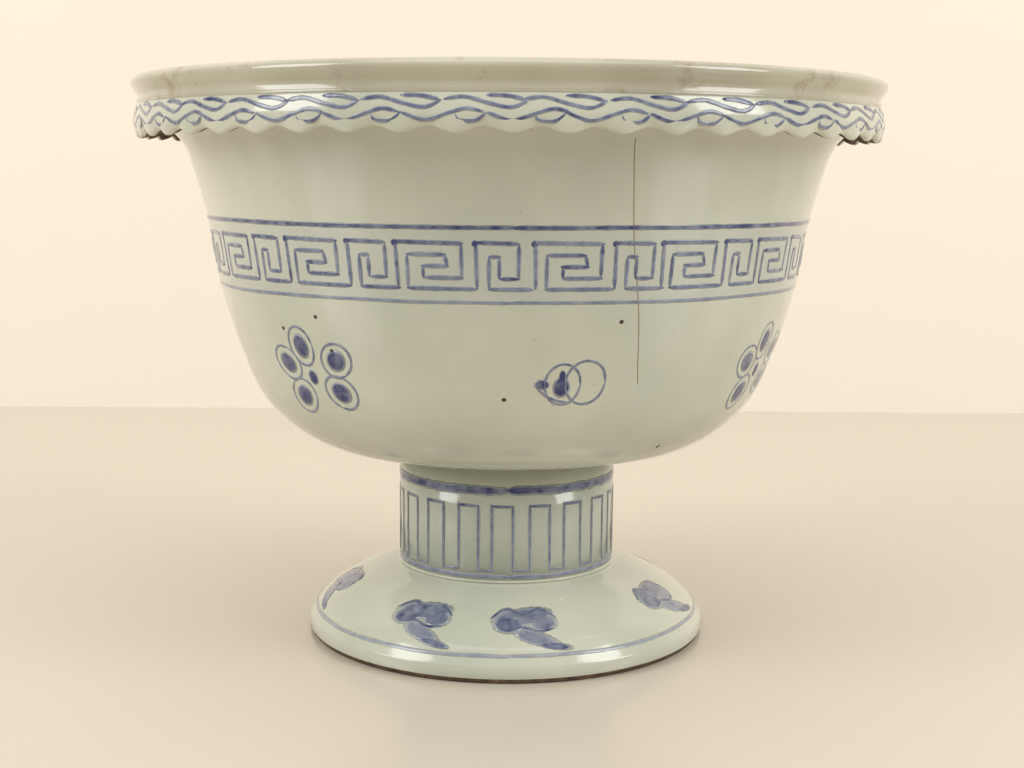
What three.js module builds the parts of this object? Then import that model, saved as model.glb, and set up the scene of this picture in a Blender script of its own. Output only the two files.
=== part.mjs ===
// Sake cup washing bowl (haisen): a porcelain bowl on a high foot, in the luted parts it was thrown in.
// Millimetres, +Z up. The origin is the centre of the foot ring's resting face.
import * as THREE from "three";
import { mergeVertices } from "three/addons/utils/BufferGeometryUtils.js";

// Driving dimensions of the foot
const FOOT_R = 44.3;
const FOOT_RING_R = 44.0;
const FOOT_RING_WIDTH = 5.5;
const FOOT_RING_BEVEL = 0.6;
const FOOT_EDGE_H = 3.5;
const FOOT_H = 15.2;
const FOOT_WALL = 5.0;

// Driving dimensions of the stem and of the slip that lutes the parts together
const STEM_R = 24.1;
const STEM_WALL = 6.0;
const STEM_H = 24.5;
const SLIP = 0.6;

// Driving dimensions of the bowl
const BOWL_H = 74.1;
const BOWL_WALL = 4.6;
const BOWL_FLOOR = 6.0;
const BELLY_R = 64.9;
const SHOULDER_R = 53.0;

// Driving dimensions of the rim
const LIP_H = 5.2;
const LIP_R = 80.4;
const LIP_WIDTH = 8.2;
const LIP_NECK_DEPTH = 1.4;
const SKIRT_SETBACK = 0.5;
const SKIRT_DROP = 6.2;
const SKIRT_TOP_WALL = 3.35;
const SKIRT_WALL = 2.9;
const SKIRT_CLEARANCE = 0.35;
const SCALLOPS = 52;
const SCALLOP_DEPTH = 1.2;
const SCALLOP_FLUTE = 0.3;
const SCALLOP_PHASE = THREE.MathUtils.degToRad(0.4);

// How finely round forms are cut into facets
const TURNS = 48;
const COLUMNS_PER_SCALLOP = 4;

// Heights of the seats, each from the part below it
const stemBottom = FOOT_H + SLIP;
const stemTop = stemBottom + STEM_H;
const bowlBottom = stemTop + SLIP;
const bowlTop = bowlBottom + BOWL_H;
const lipBottom = bowlTop + SLIP;
const boreR = STEM_R - STEM_WALL;

// Radii of the rim, each from the lip inwards
const lipInnerR = LIP_R - LIP_WIDTH;
const lipNeckR = LIP_R - LIP_NECK_DEPTH;
const skirtR = LIP_R - SKIRT_SETBACK;
const skirtInnerR = skirtR - SKIRT_TOP_WALL;
const mouthR = skirtInnerR - SKIRT_CLEARANCE;

const glazed = (color, roughness) => new THREE.MeshStandardMaterial({ color, roughness, metalness: 0 });

// Drops the normals and the triangles with no area, and joins shared vertices
function closeSurface(geometry) {
  geometry.deleteAttribute("normal");
  geometry.deleteAttribute("uv");
  const joined = mergeVertices(geometry, 1e-4);
  const kept = [];
  for (let i = 0; i < joined.index.count; i += 3) {
    const [a, b, c] = [0, 1, 2].map((k) => joined.index.getX(i + k));
    if (a !== b && b !== c && c !== a) kept.push(a, b, c);
  }
  joined.setIndex(kept);
  joined.computeVertexNormals();
  return joined;
}

// Turns a profile of [radius, height] points about +Z; it runs up the outside and down the inside
function turned(name, profile, material) {
  const points = profile.map(([r, z]) => new THREE.Vector2(r, z));
  if (points[0].x > 0) points.push(points[0].clone());
  const geometry = new THREE.LatheGeometry(points, TURNS);
  geometry.rotateX(Math.PI / 2);
  const mesh = new THREE.Mesh(closeSurface(geometry), material);
  mesh.name = name;
  return mesh;
}

// Points on a smooth curve through [radius, height] points
function smooth(points, steps) {
  const curve = new THREE.SplineCurve(points.map(([r, z]) => new THREE.Vector2(r, z)));
  return curve.getPoints(steps).map((p) => [p.x, p.y]);
}

// The foot: a low hollow dome on a turned foot ring, open below and into the stem's bore
function makeFoot() {
  const ringInner = FOOT_RING_R - FOOT_RING_WIDTH;
  const dome = smooth([
    [FOOT_R, FOOT_EDGE_H],
    [FOOT_R - 4.0, FOOT_EDGE_H + 4.5],
    [FOOT_R - 12.0, FOOT_H - 2.7],
    [STEM_R + 0.6, FOOT_H - 0.4],
  ], 9);
  const hollow = smooth([
    [boreR, FOOT_H - FOOT_WALL],
    [FOOT_R - 13.5, FOOT_H - FOOT_WALL - 2.6],
    [ringInner, 1.0],
  ], 5);
  return turned("foot", [
    [FOOT_RING_R, 0],
    [FOOT_R, FOOT_RING_BEVEL * 2],
    ...dome,
    [STEM_R, FOOT_H],
    [boreR, FOOT_H],
    ...hollow,
    [ringInner + FOOT_RING_BEVEL, 0],
  ], glazed(0xc9cdc6, 0.25));
}

// A thin washer of slip between two parts
function makeLute(name, inner, outer, bottom) {
  return turned(name, [[outer, bottom], [outer, bottom + SLIP], [inner, bottom + SLIP], [inner, bottom]],
    glazed(0xd8dad2, 0.3));
}

function makeStem() {
  return turned("stem", [
    [STEM_R, stemBottom], [STEM_R, stemTop], [boreR, stemTop], [boreR, stemBottom],
  ], glazed(0xc7cbc4, 0.2));
}

// The bowl: a flat seat for the stem, a round shoulder, a nearly straight belly and a flared mouth
function makeBowl() {
  const h = (share) => bowlBottom + share * BOWL_H;
  const outerWall = smooth([
    [STEM_R + 1.0, bowlBottom + 0.1],
    [SHOULDER_R - 11.5, bowlBottom + 2.6],
    [SHOULDER_R, h(0.155)],
    [BELLY_R - 5.8, h(0.33)],
    [BELLY_R - 2.1, h(0.5)],
    [BELLY_R, h(0.665)],
    [mouthR - 9.0, h(0.79)],
    [mouthR - 6.0, h(0.9)],
    [mouthR, h(0.97)],
  ], 17);
  const innerWall = smooth([
    [lipInnerR, bowlTop],
    [mouthR - BOWL_WALL - 8.3, h(0.88)],
    [BELLY_R - BOWL_WALL, h(0.665)],
    [BELLY_R - BOWL_WALL - 5.8, h(0.37)],
    [SHOULDER_R - BOWL_WALL - 1.5, h(0.225)],
    [STEM_R + 6.0, bowlBottom + BOWL_FLOOR + 1.6],
    [STEM_R - 10.0, bowlBottom + BOWL_FLOOR],
  ], 13);
  return turned("bowl", [
    [0, bowlBottom], [STEM_R, bowlBottom], ...outerWall, [mouthR, bowlTop], ...innerWall,
    [0, bowlBottom + BOWL_FLOOR],
  ], glazed(0xcdd1ca, 0.2));
}

// The lip: a thrown ring with a hollow neck under a rolled top edge
function makeLip() {
  const neckH = lipBottom + LIP_H * 0.23;
  const rollH = lipBottom + LIP_H * 0.71;
  const top = lipBottom + LIP_H;
  return turned("rim_lip", [
    [skirtR - 0.7, lipBottom],
    [lipNeckR, neckH],
    [lipNeckR + 0.5, neckH + LIP_H * 0.2],
    [LIP_R, rollH],
    [LIP_R - 0.5, rollH + LIP_H * 0.17],
    [LIP_R - 1.7, top],
    [LIP_R - 4.6, top - 0.2],
    [lipInnerR + 1.6, top - LIP_H * 0.35],
    [lipInnerR, lipBottom],
  ], glazed(0xb5b0a2, 0.2));
}

// The skirt: an apron that hangs outside the mouth, its lower edge pinched into piecrust scallops
function makeSkirt() {
  const columns = SCALLOPS * COLUMNS_PER_SCALLOP;
  const inner = skirtInnerR;
  const bottomZ = bowlTop - SKIRT_DROP;
  // Each row is [radius, height, how far the scallop shifts it down, how far the flute pushes it out]
  const rows = [
    [inner + 0.6, bottomZ + 0.4, 1, 0.4],
    [skirtR - 1.1, bottomZ, 1, 1],
    [skirtR - 0.4, bottomZ + 0.8, 1, 1],
    [skirtR, bowlTop - SKIRT_DROP * 0.55, 0.2, 0.3],
    [skirtR - 0.3, bowlTop - SKIRT_DROP * 0.2, 0, 0],
    [skirtR - 0.7, bowlTop, 0, 0],
    [inner, bowlTop, 0, 0],
    [skirtR - SKIRT_WALL, bowlTop - SKIRT_DROP * 0.6, 0.2, 0],
  ];
  const positions = [];
  const triangles = [];
  for (let column = 0; column < columns; column += 1) {
    const angle = (column / columns) * 2 * Math.PI;
    const wave = Math.cos(SCALLOPS * (angle - SCALLOP_PHASE));
    for (const [radius, height, drop, flute] of rows) {
      const r = radius + flute * SCALLOP_FLUTE * wave;
      const z = height - drop * 0.5 * SCALLOP_DEPTH * wave;
      positions.push(r * Math.sin(angle), -r * Math.cos(angle), z);
    }
  }
  const at = (column, row) => (column % columns) * rows.length + (row % rows.length);
  for (let column = 0; column < columns; column += 1) {
    for (let row = 0; row < rows.length; row += 1) {
      const [a, b] = [at(column, row), at(column + 1, row)];
      const [c, d] = [at(column + 1, row + 1), at(column, row + 1)];
      triangles.push(a, b, d, c, d, b);
    }
  }
  const geometry = new THREE.BufferGeometry();
  geometry.setAttribute("position", new THREE.Float32BufferAttribute(positions, 3));
  geometry.setIndex(triangles);
  geometry.computeVertexNormals();
  const mesh = new THREE.Mesh(geometry, glazed(0xb9bdb8, 0.25));
  mesh.name = "rim_skirt";
  return mesh;
}

const group = new THREE.Group();
group.add(
  makeFoot(),
  makeLute("foot_stem_lute", boreR, STEM_R, FOOT_H),
  makeStem(),
  makeLute("stem_bowl_lute", boreR, STEM_R, stemTop),
  makeBowl(),
  makeSkirt(),
  makeLute("rim_lute", lipInnerR, skirtR - 0.9, bowlTop),
  makeLip(),
);

export default group;
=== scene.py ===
import math
import random

import bmesh
import bpy
from mathutils import Matrix, Vector


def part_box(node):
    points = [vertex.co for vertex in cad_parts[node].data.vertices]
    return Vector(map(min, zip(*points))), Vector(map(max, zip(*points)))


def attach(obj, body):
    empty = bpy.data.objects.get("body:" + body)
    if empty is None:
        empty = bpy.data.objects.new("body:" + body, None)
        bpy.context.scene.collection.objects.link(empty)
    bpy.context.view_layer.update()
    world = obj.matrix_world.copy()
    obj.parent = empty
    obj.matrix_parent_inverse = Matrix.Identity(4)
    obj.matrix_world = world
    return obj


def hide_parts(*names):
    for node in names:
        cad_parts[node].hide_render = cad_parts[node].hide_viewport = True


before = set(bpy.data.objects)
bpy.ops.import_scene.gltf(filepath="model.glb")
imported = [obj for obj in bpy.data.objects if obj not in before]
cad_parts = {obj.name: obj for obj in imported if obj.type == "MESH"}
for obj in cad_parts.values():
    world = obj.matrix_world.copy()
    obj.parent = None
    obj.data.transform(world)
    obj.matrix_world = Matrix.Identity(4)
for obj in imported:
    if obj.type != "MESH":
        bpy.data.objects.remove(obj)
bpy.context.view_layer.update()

# One millimetre in metres: the bowl's sizes are in millimetres, and the stage's in metres
MM = 0.001

# Seats and heights, from the frame
FOOT_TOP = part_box("foot")[1][2] / MM
STEM_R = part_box("stem")[1][0] / MM
STEM_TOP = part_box("stem")[1][2] / MM
BOWL_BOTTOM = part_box("bowl")[0][2] / MM
BOWL_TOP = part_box("bowl")[1][2] / MM
LIP_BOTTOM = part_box("rim_lip")[0][2] / MM
BOWL_H = BOWL_TOP - BOWL_BOTTOM
LIP_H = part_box("rim_lip")[1][2] / MM - LIP_BOTTOM

# The foot, the stem and the slip that joins them
SLIP = 0.6
FOOT_R = 44.3
FOOT_RING_R = 44.0
FOOT_RING_INNER_R = 38.5
FOOT_RING_BEVEL = 0.6
BARE_RING_H = 1.1
BORE_R = STEM_R - 6.0
POOLED_GLAZE = 0.3

# The bowl
BELLY_R = 64.9
SHOULDER_R = 53.0
BOWL_WALL = 4.6
BOWL_FLOOR = 6.0
MOUTH_R = 76.2

# The rim
LIP_R = 80.4
LIP_INNER_R = 72.2
SKIRT_R = 79.9
SKIRT_INNER_R = MOUTH_R + 0.35
SKIRT_WALL = 2.9
SKIRT_DROP = 6.2
SKIRT_BOTTOM = BOWL_TOP - SKIRT_DROP
GLAZED_EDGE = 1.6
SCALLOPS = 52
SCALLOP_DEPTH = 1.2
SCALLOP_FLUTE = 0.15
SCALLOP_REACH = 0.45
SCALLOP_PHASE = math.radians(0.4)

# How finely round forms are cut
COLUMNS = 256
COLUMNS_PER_SCALLOP = 10

# Heights of the ruled lines that bound the painted bands
FRET_RULES = (78.3, 91.96)
STEM_RULES = (16.6, 35.3)

# Cobalt that ran a little in the firing tints the glaze inside the painted bands
HAZE = 0.16


def linear(hex_colour):
    """sRGB hex to linear RGBA."""
    parts = [int(hex_colour[i:i + 2], 16) / 255 for i in (1, 3, 5)]
    return [c / 12.92 if c <= 0.04045 else ((c + 0.055) / 1.055) ** 2.4 for c in parts] + [1.0]


def add(tree, kind, inputs=None, **properties):
    """Adds a node; an input is linked where it is given a socket, and set where it is given a value."""
    made = tree.nodes.new(kind)
    for name, value in properties.items():
        setattr(made, name, value)
    for key, value in (inputs or {}).items():
        if isinstance(value, bpy.types.NodeSocket):
            tree.links.new(value, made.inputs[key])
        else:
            made.inputs[key].default_value = value
    return made


def ramp(tree, fac, stops):
    """A colour ramp over [position, hex] stops."""
    made = add(tree, "ShaderNodeValToRGB", {"Fac": fac})
    for element, (position, colour) in zip(made.color_ramp.elements, stops):
        element.position = position
        element.color = linear(colour)
    for position, colour in stops[2:]:
        made.color_ramp.elements.new(position).color = linear(colour)
    return made.outputs["Color"]


def mix(tree, fac, low, high):
    """Mixes two colours by a factor socket."""
    return add(tree, "ShaderNodeMix", {0: fac, 6: low, 7: high}, data_type="RGBA").outputs[2]


def start_material(name):
    material = bpy.data.materials.new(name)
    material.use_nodes = True
    return material, material.node_tree, material.node_tree.nodes["Principled BSDF"]


def band_haze(tree, place, body):
    """Tints the glaze between the ruled lines of each painted band."""
    height = add(tree, "ShaderNodeSeparateXYZ", {"Vector": place}).outputs["Z"]
    for low, high in (FRET_RULES, STEM_RULES):
        above = add(tree, "ShaderNodeMath", {0: height, 1: low * MM}, operation="GREATER_THAN")
        below = add(tree, "ShaderNodeMath", {0: height, 1: high * MM}, operation="LESS_THAN")
        inside = add(tree, "ShaderNodeMath", {0: above.outputs[0], 1: below.outputs[0]}, operation="MULTIPLY")
        faint = add(tree, "ShaderNodeMath", {0: inside.outputs[0], 1: HAZE}, operation="MULTIPLY")
        body = mix(tree, faint.outputs[0], body, linear("#8d9bb0"))
    return body


def brushed_cobalt(tree, place, body):
    """Cobalt under the glaze where the cobalt attribute is above 0: mid blue where thin, navy where thick."""
    density = add(tree, "ShaderNodeAttribute", attribute_name="cobalt").outputs["Fac"]
    bristles = add(tree, "ShaderNodeTexNoise", {"Vector": place, "Scale": 420.0, "Detail": 4.0})
    streak = add(tree, "ShaderNodeMapRange", {"Value": bristles.outputs["Fac"], "From Min": 0.25,
                                              "From Max": 0.75, "To Min": 0.75, "To Max": 1.15})
    wash = add(tree, "ShaderNodeMath", {0: density, 1: streak.outputs["Result"]}, operation="MULTIPLY",
               use_clamp=True).outputs[0]
    return mix(tree, wash, body, ramp(tree, wash, [(0.3, "#5b70a8"), (0.95, "#232f66")]))


def glazed_porcelain(name, pale, deep, stain=None):
    """Grey-green glaze over porcelain, dipped: glossy, uneven where it pooled, with pinhole specks.
    A stain is the brown dirt that has drawn into worn patches."""
    material, tree, shader = start_material(name)
    place = add(tree, "ShaderNodeTexCoord").outputs["Object"]
    pooling = add(tree, "ShaderNodeTexNoise", {"Vector": place, "Scale": 28.0, "Detail": 3.0})
    body = ramp(tree, pooling.outputs["Fac"], [(0.35, deep), (0.65, pale)])
    pinholes = add(tree, "ShaderNodeTexVoronoi", {"Vector": place, "Scale": 170.0, "Randomness": 1.0})
    speck = add(tree, "ShaderNodeMapRange", {"Value": pinholes.outputs["Distance"], "From Min": 0.05,
                                             "From Max": 0.03, "To Max": 0.3})
    body = mix(tree, speck.outputs["Result"], body, linear("#7c6f5c"))
    if stain:
        patches = add(tree, "ShaderNodeTexNoise",
                      {"Vector": place, "Scale": 75.0, "Detail": 6.0, "Roughness": 0.7})
        worn = add(tree, "ShaderNodeMapRange",
                   {"Value": patches.outputs["Fac"], "From Min": 0.57, "From Max": 0.72})
        body = mix(tree, worn.outputs["Result"], body, linear(stain))
    body = brushed_cobalt(tree, place, band_haze(tree, place, body))
    tree.links.new(body, shader.inputs["Base Color"])
    peel = add(tree, "ShaderNodeTexNoise", {"Vector": place, "Scale": 300.0, "Detail": 2.0})
    bump = add(tree, "ShaderNodeBump", {"Height": peel.outputs["Fac"], "Strength": 0.06, "Distance": 0.0004})
    tree.links.new(bump.outputs["Normal"], shader.inputs["Normal"])
    shader.inputs["Roughness"].default_value = 0.13
    shader.inputs["IOR"].default_value = 1.5
    shader.inputs["Coat Weight"].default_value = 0.25
    shader.inputs["Coat Roughness"].default_value = 0.05
    return material


def bare_clay(name):
    """Unglazed iron-bearing clay, worn and dirty where it touches the table: dark brown and rough."""
    material, tree, shader = start_material(name)
    place = add(tree, "ShaderNodeTexCoord").outputs["Object"]
    grain = add(tree, "ShaderNodeTexNoise",
                {"Vector": place, "Scale": 260.0, "Detail": 8.0, "Roughness": 0.7})
    body = ramp(tree, grain.outputs["Fac"], [(0.35, "#3a2c20"), (0.6, "#6d5742"), (0.75, "#9a8870")])
    tree.links.new(body, shader.inputs["Base Color"])
    bump = add(tree, "ShaderNodeBump", {"Height": grain.outputs["Fac"], "Strength": 0.5, "Distance": 0.0005})
    tree.links.new(bump.outputs["Normal"], shader.inputs["Normal"])
    shader.inputs["Roughness"].default_value = 0.85
    return material


def even_colour(name, colour, rough):
    """One colour all over: for the stage, and for marks too small to show any variation."""
    material, _, shader = start_material(name)
    shader.inputs["Base Color"].default_value = linear(colour)
    shader.inputs["Roughness"].default_value = rough
    return material


body_glaze = glazed_porcelain("celadon_grey_glaze", "#cbcdbd", "#bbbfaf")
lip_glaze = glazed_porcelain("iron_stained_lip_glaze", "#c0bda9", "#aca995", stain="#8d7a60")
clay = bare_clay("bare_iron_clay")


def smooth(points, steps):
    """A uniform Catmull-Rom curve through [radius, height] points."""
    made = []
    for step in range(steps + 1):
        at = (len(points) - 1) * step / steps
        i = min(int(at), len(points) - 2)
        t = at - i
        p0, p1 = points[max(i - 1, 0)], points[i]
        p2, p3 = points[i + 1], points[min(i + 2, len(points) - 1)]
        point = []
        for a, b, c, d in zip(p0, p1, p2, p3):
            v0, v1 = (c - a) / 2, (d - b) / 2
            cubic = (2 * b - 2 * c + v0 + v1) * t ** 3
            square = (-3 * b + 3 * c - 2 * v0 - v1) * t * t
            point.append(cubic + square + v0 * t + b)
        made.append(tuple(point))
    return made


def make_object(name, verts, faces, materials, density=None, replaced=()):
    """A finished mesh object, smooth and outward, riding on the bowl's one body."""
    mesh = bpy.data.meshes.new(name)
    mesh.from_pydata([Vector(v) * MM for v in verts], [], faces)
    if density:
        mesh.attributes.new("cobalt", "FLOAT", "POINT").data.foreach_set("value", density)
    for material in materials:
        mesh.materials.append(material)
    work = bmesh.new()
    work.from_mesh(mesh)
    bmesh.ops.remove_doubles(work, verts=work.verts, dist=1e-7)
    bmesh.ops.recalc_face_normals(work, faces=work.faces)
    work.to_mesh(mesh)
    work.free()
    mesh.shade_smooth()
    made = bpy.data.objects.new(name, mesh)
    bpy.context.scene.collection.objects.link(made)
    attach(made, "root")
    if replaced:
        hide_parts(*replaced)
    return made


def revolve(name, profile, materials, replaced, wave=None):
    """Turns a closed profile; wave(angle, row) gives the radius and height that it adds on one row."""
    verts, faces = [], []
    rows = len(profile)
    columns = SCALLOPS * COLUMNS_PER_SCALLOP if wave else COLUMNS
    for column in range(columns):
        angle = 2 * math.pi * column / columns
        for row, (r, z) in enumerate(profile):
            extra_r, extra_z = wave(angle, row) if wave else (0, 0)
            verts.append(((r + extra_r) * math.sin(angle), -(r + extra_r) * math.cos(angle), z + extra_z))
    for column in range(columns):
        here, there = column * rows, (column + 1) % columns * rows
        for row in range(rows):
            above = (row + 1) % rows
            if profile[row][0] or profile[above][0]:
                faces.append((here + row, there + row, there + above, here + above))
    return make_object(name, verts, faces, materials, replaced=replaced)


def bowl_height(share):
    return BOWL_BOTTOM + share * BOWL_H


# The bowl: round shoulder, nearly straight belly and flared mouth
OUTER_WALL = smooth([
    (STEM_R + 1.0, BOWL_BOTTOM + 0.1),
    (SHOULDER_R - 11.5, BOWL_BOTTOM + 2.6),
    (SHOULDER_R, bowl_height(0.155)),
    (BELLY_R - 5.8, bowl_height(0.33)),
    (BELLY_R - 2.1, bowl_height(0.5)),
    (BELLY_R, bowl_height(0.665)),
    (BELLY_R + 2.3, bowl_height(0.79)),
    (BELLY_R + 5.3, bowl_height(0.9)),
    (MOUTH_R, bowl_height(0.97)),
], 72)
INNER_WALL = smooth([
    (LIP_INNER_R, BOWL_TOP),
    (BELLY_R - BOWL_WALL + 3.0, bowl_height(0.88)),
    (BELLY_R - BOWL_WALL, bowl_height(0.665)),
    (BELLY_R - BOWL_WALL - 5.8, bowl_height(0.37)),
    (SHOULDER_R - BOWL_WALL - 1.5, bowl_height(0.225)),
    (STEM_R + 6.0, BOWL_BOTTOM + BOWL_FLOOR + 1.6),
    (STEM_R - 10.0, BOWL_BOTTOM + BOWL_FLOOR),
], 48)
underside = [(0, BOWL_BOTTOM), (STEM_R, BOWL_BOTTOM)]
floor_centre = [(0, BOWL_BOTTOM + BOWL_FLOOR)]
revolve("glazed_bowl", underside + OUTER_WALL + [(MOUTH_R, BOWL_TOP)] + INNER_WALL + floor_centre,
        [body_glaze], ["bowl"])

# The foot: a hollow dome on a bare ring
FOOT_DOME = smooth([
    (FOOT_R, 3.5),
    (FOOT_R - 4.0, 8.0),
    (FOOT_R - 12.0, FOOT_TOP - 2.7),
    (STEM_R + 0.6, FOOT_TOP - 0.4),
], 40)
foot_hollow = smooth([
    (BORE_R, FOOT_TOP - 5.0),
    (FOOT_R - 13.5, FOOT_TOP - 7.6),
    (FOOT_RING_INNER_R, 1.0),
], 20)
foot_ring_outside = [(FOOT_RING_R - 0.4, 0), (FOOT_RING_R, 0.4), (FOOT_R, BARE_RING_H)]
foot_ring_inside = [(FOOT_RING_INNER_R + FOOT_RING_BEVEL, 0)]
foot_seat = [(STEM_R, FOOT_TOP), (BORE_R, FOOT_TOP)]
foot = revolve("glazed_foot", foot_ring_outside + FOOT_DOME + foot_seat + foot_hollow + foot_ring_inside,
               [body_glaze, clay], ["foot"])
for face in foot.data.polygons:
    if face.center.z < BARE_RING_H * MM:
        face.material_index = 1

# The stem, drawn in a little at the middle of its height
stem_bottom = FOOT_TOP + SLIP
revolve("glazed_stem", [(STEM_R, stem_bottom), (STEM_R - 0.15, 28.0), (STEM_R, STEM_TOP),
                        (BORE_R, STEM_TOP), (BORE_R, stem_bottom)],
        [body_glaze], ["stem"])


def joint_glaze(name, bottom, top, replaced):
    """A slip joint on the stem, with the glaze that pooled on it."""
    outer = smooth([(STEM_R, bottom), (STEM_R + POOLED_GLAZE, (bottom + top) / 2), (STEM_R, top)], 6)
    revolve(name, outer + [(BORE_R, top), (BORE_R, bottom)], [body_glaze], [replaced])


joint_glaze("foot_joint_glaze", FOOT_TOP, stem_bottom, "foot_stem_lute")
joint_glaze("bowl_joint_glaze", STEM_TOP, BOWL_BOTTOM, "stem_bowl_lute")


# The lip: a hollow neck under a rolled top edge
def lip_height(share):
    return LIP_BOTTOM + share * LIP_H


lip_profile = smooth([
    (LIP_R - 1.2, LIP_BOTTOM),
    (LIP_R - 1.4, lip_height(0.23)),
    (LIP_R - 0.7, lip_height(0.45)),
    (LIP_R, lip_height(0.71)),
    (LIP_R - 0.5, lip_height(0.9)),
    (LIP_R - 1.9, lip_height(1)),
    (LIP_R - 4.6, lip_height(1) - 0.2),
    (LIP_INNER_R + 1.6, lip_height(0.65)),
    (LIP_INNER_R, LIP_BOTTOM),
], 48)
revolve("rolled_lip", lip_profile, [lip_glaze], ["rim_lip"])
revolve("rim_joint_glaze", [(SKIRT_R - 0.7, BOWL_TOP), (SKIRT_R - 0.9, BOWL_TOP + 0.3),
                            (LIP_R - 1.2, LIP_BOTTOM), (LIP_INNER_R, LIP_BOTTOM), (LIP_INNER_R, BOWL_TOP)],
        [lip_glaze], ["rim_lute"])

# The skirt: an apron outside the mouth, with a piecrust edge
SKIRT_OUTER = smooth([
    (SKIRT_INNER_R + 0.6, SKIRT_BOTTOM + 0.4),
    (SKIRT_R - 1.1, SKIRT_BOTTOM),
    (SKIRT_R - 0.4, SKIRT_BOTTOM + 0.8),
    (SKIRT_R, BOWL_TOP - SKIRT_DROP * 0.55),
    (SKIRT_R - 0.3, BOWL_TOP - SKIRT_DROP * 0.2),
    (SKIRT_R - 0.7, BOWL_TOP),
], 20)
SKIRT_PROFILE = SKIRT_OUTER + [(SKIRT_INNER_R, BOWL_TOP), (SKIRT_R - SKIRT_WALL, BOWL_TOP - SKIRT_DROP * 0.6)]


def piecrust(angle, row):
    """The pinched edge: strongest at the bottom of the skirt, and gone just below its middle."""
    share = max(0.0, 1 - (SKIRT_PROFILE[row][1] - SKIRT_BOTTOM) / (SKIRT_DROP * SCALLOP_REACH))
    wave = math.cos(SCALLOPS * (angle - SCALLOP_PHASE))
    return SCALLOP_FLUTE * share * wave, -0.5 * SCALLOP_DEPTH * share * wave


apron = revolve("scalloped_skirt", SKIRT_PROFILE, [body_glaze, clay], ["rim_skirt"],
                wave=piecrust)
# The glaze stops at the edge: the underside is bare
for face in apron.data.polygons:
    under_edge = math.hypot(face.center.x, face.center.y) < (SKIRT_R - GLAZED_EDGE) * MM
    if under_edge and face.center.z < (BOWL_TOP - 0.1) * MM:
        face.material_index = 1


def wall_radius(profile):
    """A function that gives a wall's radius at a height, straight between the profile's points."""
    ordered = sorted((z, r) for r, z in profile)

    def radius(z):
        z = min(max(z, ordered[0][0]), ordered[-1][0])
        for (z0, r0), (z1, r1) in zip(ordered, ordered[1:]):
            if z0 <= z <= z1:
                return r0 + (r1 - r0) * (z - z0) / max(z1 - z0, 1e-6)
        return ordered[-1][1]
    return radius


on_bowl = wall_radius(OUTER_WALL)
on_skirt = wall_radius([p for p in SKIRT_OUTER if p[1] > SKIRT_BOTTOM + 0.8])
on_foot = wall_radius(FOOT_DOME)


def on_stem(z):
    return STEM_R


# Brushwork stands this far off the glaze, so that it shows; its real thickness is far less
RELIEF = 0.07
random.seed(7)


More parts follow.
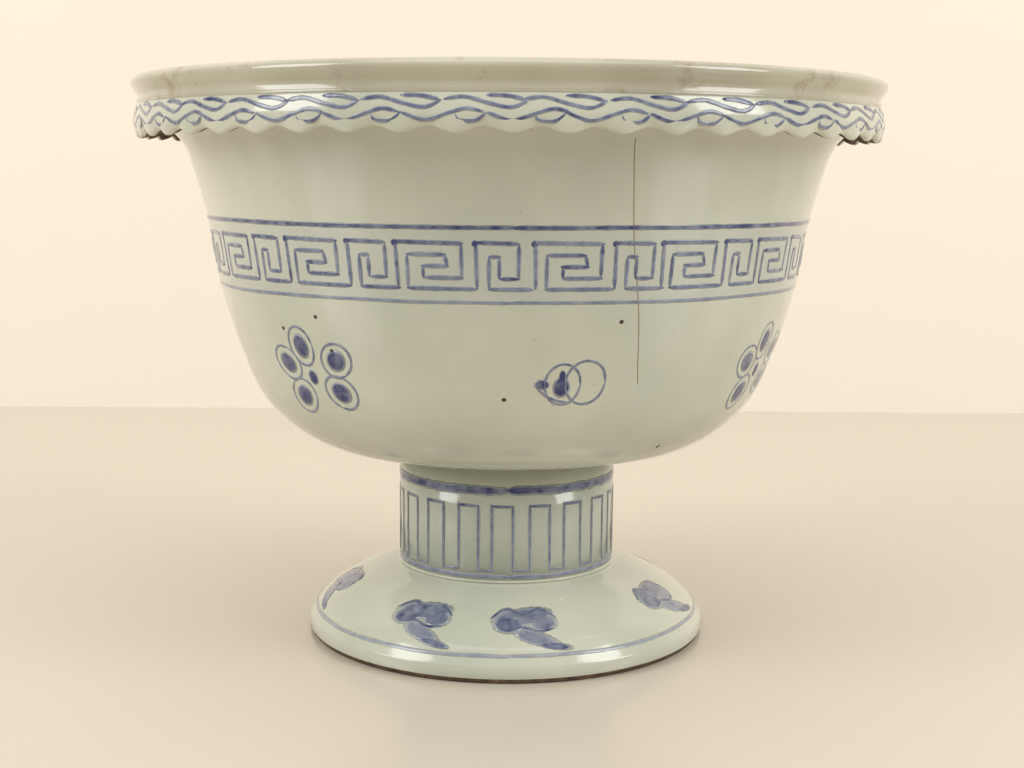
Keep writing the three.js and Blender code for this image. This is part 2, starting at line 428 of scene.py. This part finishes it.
class Brushwork:
    """Gathers strokes into one mesh on one wall. Places are angles in degrees and heights in mm."""

    # A stroke's section, round from one edge: share of half its width, lift and share of the pigment
    SECTION = ((-1, -0.02, 0), (-0.55, 1, 1), (0, 1.2, 1), (0.55, 1, 1), (1, -0.02, 0), (0, -1.2, 0))
    BLOB_SIDES = 20

    def __init__(self, name, radius):
        self.name = name
        self.radius = radius
        self.verts = []
        self.faces = []
        self.density = []

    def place(self, arc, z, lift, pigment):
        """Adds a point on the wall, lifted off it by a share of the relief."""
        r = self.radius(z) + RELIEF * lift
        angle = math.radians(arc)
        self.verts.append((r * math.sin(angle), -r * math.cos(angle), z))
        self.density.append(pigment)

    def even_steps(self, points, spacing):
        """Points at even steps along a path in millimetres."""
        length = sum(math.dist(p, q) for p, q in zip(points, points[1:]))
        count = max(4, int(length / spacing))
        path, walked, target = [], 0.0, 0.0
        for p, q in zip(points, points[1:]):
            step = math.dist(p, q)
            while target <= walked + step + 1e-9 and step > 0:
                t = (target - walked) / step
                path.append((p[0] + (q[0] - p[0]) * t, p[1] + (q[1] - p[1]) * t))
                target += length / count
            walked += step
        return path

    def stroke(self, points, width, strength=0.9, spacing=0.7):
        """A stroke along [angle, height] points: fully loaded where it starts, and narrower at both ends."""
        per_degree = math.radians(1) * self.radius(points[0][1])
        flat = [(a * per_degree, z) for a, z in points]
        curve = smooth(flat, 10 * (len(flat) - 1)) if len(flat) > 2 else flat
        path = self.even_steps(curve, spacing)
        base, last, sides = len(self.verts), len(path) - 1, len(self.SECTION)
        for i, (x, z) in enumerate(path):
            before, after = path[max(i - 1, 0)], path[min(i + 1, last)]
            dx, dz = after[0] - before[0], after[1] - before[1]
            size = math.hypot(dx, dz) or 1.0
            nx, nz = -dz / size, dx / size
            taper = min(1.0, min(i, last - i) * 0.5 + 0.35)
            half = 0.5 * width * taper * random.uniform(0.88, 1.12)
            load = strength * (1.0 if i < 3 else random.uniform(0.82, 0.97))
            for side, lift, share in self.SECTION:
                self.place((x + nx * half * side) / per_degree, z + nz * half * side, lift, load * share)
        for i in range(last):
            for k in range(sides):
                a, b = base + i * sides + k, base + i * sides + (k + 1) % sides
                self.faces.append((a, b, b + sides, a + sides))
        self.faces.append(tuple(base + k for k in reversed(range(sides))))
        self.faces.append(tuple(base + last * sides + k for k in range(sides)))

    def blob(self, arc, z, half_width, half_height, turn=0.0, strength=1.0, soft=0.25):
        """A filled oval of wash, turned by degrees, with a soft edge."""
        per_degree = math.radians(1) * self.radius(z)
        cos_turn, sin_turn = math.cos(math.radians(turn)), math.sin(math.radians(turn))
        base, sides = len(self.verts), self.BLOB_SIDES
        self.place(arc, z, 1.15, strength)
        for share, lift, pigment in ((0.5, 1.1, strength), (1 - soft, 1.0, strength), (1.0, -0.02, 0.0)):
            for k in range(sides):
                x = half_width * share * math.cos(2 * math.pi * k / sides)
                y = half_height * share * math.sin(2 * math.pi * k / sides)
                across, up = x * cos_turn - y * sin_turn, x * sin_turn + y * cos_turn
                self.place(arc + across / per_degree, z + up, lift, pigment)
        self.place(arc, z, -2, 0.0)
        under = len(self.verts) - 1
        for k in range(sides):
            after = (k + 1) % sides
            self.faces.append((base, base + 1 + k, base + 1 + after))
            for ring in (base + 1, base + 1 + sides):
                self.faces.append((ring + k, ring + sides + k, ring + sides + after, ring + after))
            edge = base + 1 + 2 * sides
            self.faces.append((edge + k, under, edge + after))

    def ruled_line(self, z, width, strength):
        """A line drawn round as the wheel turned, in four strokes that overlap."""
        for quarter in range(4):
            points = [(quarter * 90 - 180 + k * 9.2, z + random.uniform(-0.08, 0.08)) for k in range(11)]
            self.stroke(points, width, strength, spacing=1.2)

    def finish(self, material=None):
        """Makes the object: in cobalt under the glaze, or in another material's own colour."""
        density = None if material else self.density
        return make_object(self.name, self.verts, self.faces, [material or body_glaze],
                           density)


# The fret band: a wide and a narrow meander in each cell, as [share of the meander, degrees, height] ends
FRET_CELLS = 16
FRET_START = -63.3
WIDE_MEANDER = 13.3
NARROW_MEANDER = 9.2
FRET_TOP, FRET_INNER_TOP, FRET_MID, FRET_INNER_BOTTOM, FRET_BOTTOM = 89.05, 87.0, 84.9, 82.8, 80.8
NARROW_INNER_TOP, NARROW_INNER_BOTTOM = 86.7, 82.7
WIDE_STROKES = (
    ((0, 0, FRET_BOTTOM), (0, -0.2, FRET_TOP)),
    ((0, -0.7, FRET_TOP + 0.2), (0.84, 0, FRET_TOP)),
    ((0.81, 0, FRET_TOP), (0.81, 0, FRET_INNER_BOTTOM)),
    ((0.84, 0, FRET_INNER_BOTTOM), (0.32, 0, FRET_INNER_BOTTOM)),
    ((0.33, 0, FRET_INNER_BOTTOM), (0.33, 0, FRET_MID)),
    ((0.30, 0, FRET_MID), (0.66, 0, FRET_MID)),
    ((0.64, 0, FRET_MID), (0.6, 0, FRET_INNER_TOP)),
    ((0.62, 0, FRET_INNER_TOP), (0.12, 0, FRET_INNER_TOP)),
    ((0.13, 0, FRET_INNER_TOP), (0.13, 0, FRET_BOTTOM)),
    ((0.11, 0, FRET_BOTTOM), (1, 0, FRET_BOTTOM)),
)
NARROW_STROKES = (
    ((0, 0, FRET_BOTTOM), (0, -0.2, FRET_TOP)),
    ((0, -0.6, FRET_TOP + 0.2), (0.75, 0, FRET_TOP)),
    ((0.73, 0, FRET_TOP), (0.73, 0, NARROW_INNER_BOTTOM)),
    ((0.76, 0, NARROW_INNER_BOTTOM), (0.38, 0, NARROW_INNER_BOTTOM)),
    ((0.39, 0, NARROW_INNER_BOTTOM), (0.39, 0, NARROW_INNER_TOP)),
    ((0.42, 0, NARROW_INNER_TOP), (0.2, 0, NARROW_INNER_TOP)),
    ((0.21, 0, NARROW_INNER_TOP), (0.21, 0, FRET_BOTTOM)),
    ((0.19, 0, FRET_BOTTOM), (1, 0, FRET_BOTTOM)),
)


def paint_meander(brush, origin, span, strokes, corner):
    """One meander, with the pigment that gathered at its top left corner."""
    for ends in strokes:
        points = [(origin + span * share + degrees, z) for share, degrees, z in ends]
        brush.stroke(points, 0.95, 0.95 * random.uniform(0.85, 1.0))
    brush.blob(origin - 0.3, FRET_TOP, *corner)


def paint_fret():
    fret = Brushwork("cobalt_fret_band", on_bowl)
    fret.ruled_line(FRET_RULES[1], 1.0, 1.0)
    fret.ruled_line(FRET_RULES[0], 0.8, 0.75)
    for cell in range(FRET_CELLS):
        start = FRET_START + cell * 360 / FRET_CELLS + random.uniform(-0.5, 0.5)
        paint_meander(fret, start, WIDE_MEANDER, WIDE_STROKES, (0.75, 0.7))
        paint_meander(fret, start + WIDE_MEANDER, NARROW_MEANDER, NARROW_STROKES, (0.7, 0.65))
    fret.finish()


# The rim scroll: [share of a unit, height] points of each stroke; the lower vine starts half a unit on
SCROLL_UNITS = 35
SCROLL_START = 2.0
UPPER_VINE = ((0, 113.8), (0.25, 114.2), (0.55, 113.1), (0.8, 112.5), (1, 113.7))
UPPER_LEAF = ((0.5, 114.5), (0.75, 114.4), (0.98, 113.7))
LOWER_VINE = ((0, 111.7), (0.3, 110.4), (0.6, 111.6), (0.8, 112.3), (1, 111.7))
LOWER_HOOK = ((0, 111.6), (-0.12, 110.3), (-0.32, 110.4), (-0.36, 111.3))


def paint_rim_scroll():
    scroll = Brushwork("cobalt_rim_scroll", on_skirt)
    unit = 360 / SCROLL_UNITS
    for number in range(SCROLL_UNITS):
        upper = SCROLL_START + number * unit + random.uniform(-0.4, 0.4)
        lower = upper + 0.5 * unit
        for origin, points, width, strength in (
                (upper, UPPER_VINE, 0.85, 0.9), (upper, UPPER_LEAF, 0.9, 0.95),
                (lower, LOWER_VINE, 0.85, 0.9), (lower, LOWER_HOOK, 0.8, 0.9)):
            scroll.stroke([(origin + share * unit, z) for share, z in points], width, strength)
    scroll.finish()


# The stem key, a square wave: strokes of [share of a cell, degrees, height] ends, width and strength
KEY_CELLS = 19
KEY_START = -6.7
KEY_RUN = 0.56
KEY_STROKES = (
    (((0, -0.8, 31.9), (KEY_RUN, 0.6, 31.8)), 0.7, 0.9),
    (((0, 0, 32.3), (0, 0, 17.6)), 0.65, 0.85),
    (((KEY_RUN, 0, 32.1), (KEY_RUN, 0, 17.6)), 0.65, 0.85),
    (((KEY_RUN, -0.5, 17.9), (1, 0.5, 17.9)), 0.6, 0.8),
)


def paint_stem_key():
    key = Brushwork("cobalt_stem_key", on_stem)
    key.ruled_line(STEM_RULES[1], 2.1, 1.0)
    key.ruled_line(STEM_RULES[0], 1.1, 0.8)
    pitch = 360 / KEY_CELLS
    for cell in range(KEY_CELLS):
        left = KEY_START + cell * pitch + random.uniform(-0.8, 0.8)
        for ends, width, strength in KEY_STROKES:
            key.stroke([(left + share * pitch + degrees, z) for share, degrees, z in ends], width, strength)
    key.finish()


# Plum blossoms and buds round the lower bowl; a petal's place is [across, up] from its flower's centre
MOTIFS = 7
MOTIF_START = -40.8
FLOWER_Z = 61.7
PETALS = ((-1.0, 6.4), (7.3, 4.1), (-6.6, 2.6), (-4.7, -4.0), (6.6, -2.4))
PETAL_HALF_WIDTH, PETAL_HALF_HEIGHT = 3.3, 3.9
PETAL_FILL = 0.66
HEART = (61.9, 1.3, 1.6)

# A bud's ovals as [degrees, height, half width, half height], a wash also with its turn and strength
BUD_LOBES = ((-0.4, 62.7, 3.4, 4.0), (3.9, 63.0, 3.9, 4.3))
BUD_WASHES = ((-0.6, 62.2, 1.8, 2.2), (-0.6, 64.4, 0.7, 1.2), (-4.3, 62.7, 1.6, 1.1, 0, 0.9))
BUD_TWIG = ((-5.2, 62.0), (-2.6, 60.0), (1.5, 58.9))


def paint_oval(brush, arc, z, half_width, half_height, turn=0.0):
    """An oval outline, turned by an angle in radians."""
    per_degree = math.radians(1) * on_bowl(z)
    ring = []
    for k in range(13):
        x = half_width * math.cos(2 * math.pi * k / 12)
        y = half_height * math.sin(2 * math.pi * k / 12)
        ring.append((arc + (x * math.cos(turn) - y * math.sin(turn)) / per_degree,
                     z + x * math.sin(turn) + y * math.cos(turn)))
    brush.stroke(ring, 0.65, 0.85)


def paint_blossom(brush, centre):
    """Five outlined petals, each with a solid oval in it, round a solid heart."""
    per_degree = math.radians(1) * on_bowl(FLOWER_Z)
    fill_half_width, fill_half_height = PETAL_HALF_WIDTH * PETAL_FILL, PETAL_HALF_HEIGHT * PETAL_FILL
    for x, y in PETALS:
        arc, z = centre + x / per_degree, FLOWER_Z + y
        turn = math.atan2(y, x) - math.pi / 2
        paint_oval(brush, arc, z, PETAL_HALF_WIDTH, PETAL_HALF_HEIGHT, turn)
        brush.blob(arc, z, fill_half_width, fill_half_height, math.degrees(turn), 0.95)
    brush.blob(centre, *HEART)


def paint_bud(brush, centre):
    """Two lobes that overlap, a teardrop in the left one, and the knot of the twig."""
    for degrees, *lobe in BUD_LOBES:
        paint_oval(brush, centre + degrees, *lobe)
    for degrees, *wash in BUD_WASHES:
        brush.blob(centre + degrees, *wash)
    brush.stroke([(centre + degrees, z) for degrees, z in BUD_TWIG], 0.7, 0.9)


def paint_flowers():
    flowers = Brushwork("cobalt_plum_blossoms", on_bowl)
    for motif in range(MOTIFS):
        paint = paint_blossom if motif % 2 == 0 or motif == MOTIFS - 1 else paint_bud
        paint(flowers, MOTIF_START + motif * 360 / MOTIFS)
    flowers.finish()


# The foot's clouds: a wash is [degrees, height, half width, half height, turn, strength, soft edge]
CLOUD_ANGLES = (-29, 6, 64, 118, 170, 222, 276)
CLOUD_WASHES = (
    (0, 11.2, 7.0, 1.3, 4, 0.8, 0.3),
    (-5, 10.2, 3.6, 1.4, 0, 0.85, 0.35),
    (6, 10.4, 3.4, 1.3, 0, 0.75, 0.35),
    (3, 8.2, 5.2, 1.2, -12, 0.7, 0.35),
    (8, 6.9, 4.0, 0.7, -8, 0.9, 0.35),
)
CLOUD_CREST = ((-11, 11.0), (-6, 12.2), (0, 11.6), (6, 12.2), (11, 11.0))
CLOUD_FOLD = ((-6, 9.2), (-1, 9.8), (4, 9.2), (9, 9.5))


def paint_foot():
    clouds = Brushwork("cobalt_foot_clouds", on_foot)
    clouds.ruled_line(5.4, 0.7, 0.6)
    for arc in CLOUD_ANGLES:
        for degrees, *wash in CLOUD_WASHES:
            clouds.blob(arc + degrees, *wash)
        clouds.stroke([(arc + degrees, z) for degrees, z in CLOUD_CREST], 0.6, 0.95)
        clouds.stroke([(arc + degrees, z) for degrees, z in CLOUD_FOLD], 0.5, 0.95)
    clouds.finish()


paint_fret()
paint_rim_scroll()
paint_stem_key()
paint_flowers()
paint_foot()

# A hairline crack with tea-brown dirt drawn into it
CRACK = ((18.4, 108.0), (19.4, 100.0), (20.6, 90.0), (21.8, 82.0), (23.0, 75.0), (24.2, 67.0), (25.3, 62.0))
crack = Brushwork("crack_stain", on_bowl)
crack.stroke(CRACK, 0.2)
crack.finish(even_colour("crack_brown", "#94805f", 0.5))

# Iron specks that burned through the glaze
IRON_SPECKS = ((-45.6, 71.4), (-36.1, 74.3), (-33.9, 67.8), (-0.6, 59.7), (19.8, 74.6), (39.0, 47.5))
specks = Brushwork("iron_specks", on_bowl)
for arc, z in IRON_SPECKS:
    specks.blob(arc, z, 0.45, 0.4)
specks.finish(even_colour("burned_iron", "#33281f", 0.35))

# The stage, in metres: a pale table, its back edge and a warm backdrop
STAGE_HALF_WIDTH = 3.0
TABLE_BACK = 0.305
BACKDROP_BOTTOM, BACKDROP_TOP = -0.1, 2.2


def stage_plane(name, corners, material):
    mesh = bpy.data.meshes.new(name)
    mesh.from_pydata(corners, [], [(0, 1, 2, 3)])
    mesh.materials.append(material)
    made = bpy.data.objects.new(name, mesh)
    bpy.context.scene.collection.objects.link(made)


stage_plane("table", [(-STAGE_HALF_WIDTH, -STAGE_HALF_WIDTH, 0), (STAGE_HALF_WIDTH, -STAGE_HALF_WIDTH, 0),
                      (STAGE_HALF_WIDTH, TABLE_BACK, 0), (-STAGE_HALF_WIDTH, TABLE_BACK, 0)],
            even_colour("pale_table", "#cfc6b7", 0.22))
stage_plane("backdrop", [(-STAGE_HALF_WIDTH, TABLE_BACK, BACKDROP_BOTTOM),
                         (STAGE_HALF_WIDTH, TABLE_BACK, BACKDROP_BOTTOM),
                         (STAGE_HALF_WIDTH, TABLE_BACK, BACKDROP_TOP),
                         (-STAGE_HALF_WIDTH, TABLE_BACK, BACKDROP_TOP)],
            even_colour("warm_backdrop", "#efe6d8", 0.9))


def softbox(name, place, aim, size, power):
    """A rectangular lamp at a place in metres, turned to its aim, with its power in watts."""
    lamp = bpy.data.lights.new(name, "AREA")
    lamp.shape = "RECTANGLE"
    lamp.size, lamp.size_y = size
    lamp.energy = power
    made = bpy.data.objects.new(name, lamp)
    made.location = place
    made.rotation_euler = (Vector(aim) - Vector(place)).to_track_quat("-Z", "Y").to_euler()
    bpy.context.scene.collection.objects.link(made)


SIDE_LAMP_POWER, TOP_LAMP_POWER = 4.2, 2.6
ROOM_LIGHT = 0.66
for name, side in (("left_softbox", -1), ("right_softbox", 1)):
    softbox(name, (side * 0.75, -0.35, 0.5), (0, 0, 0.06), (0.35, 0.6), SIDE_LAMP_POWER)
softbox("top_softbox", (0, -0.15, 1.0), (0, 0, 0.05), (0.9, 0.6), TOP_LAMP_POWER)
world = bpy.data.worlds.new("soft_room")
world.use_nodes = True
world.node_tree.nodes["Background"].inputs["Color"].default_value = linear("#f1ece4")
world.node_tree.nodes["Background"].inputs["Strength"].default_value = ROOM_LIGHT
bpy.context.scene.world = world

# The camera, at the photograph's place: distance, height, pitch and roll fitted to the round edges
IMAGE_WIDTH_PX = 1024
FOCAL_PX = 1500.0
AXIS_LEFT_OF_CENTRE_PX = 4.78
SENSOR_WIDTH = 36.0
CAMERA_PLACE = (0, -0.3334, 0.102)
CAMERA_PITCH = math.radians(90 - 8.09)
CAMERA_ROLL = math.radians(0.409)
lens = bpy.data.cameras.new("camera")
lens.sensor_width = SENSOR_WIDTH
lens.lens = FOCAL_PX * SENSOR_WIDTH / IMAGE_WIDTH_PX
lens.shift_x = AXIS_LEFT_OF_CENTRE_PX / IMAGE_WIDTH_PX
camera = bpy.data.objects.new("camera", lens)
pitch = Matrix.Rotation(CAMERA_PITCH, 4, "X")
roll = Matrix.Rotation(CAMERA_ROLL, 4, "Z")
camera.matrix_world = Matrix.Translation(CAMERA_PLACE) @ pitch @ roll
bpy.context.scene.collection.objects.link(camera)
bpy.context.scene.camera = camera
bpy.context.scene.view_settings.view_transform = "Standard"
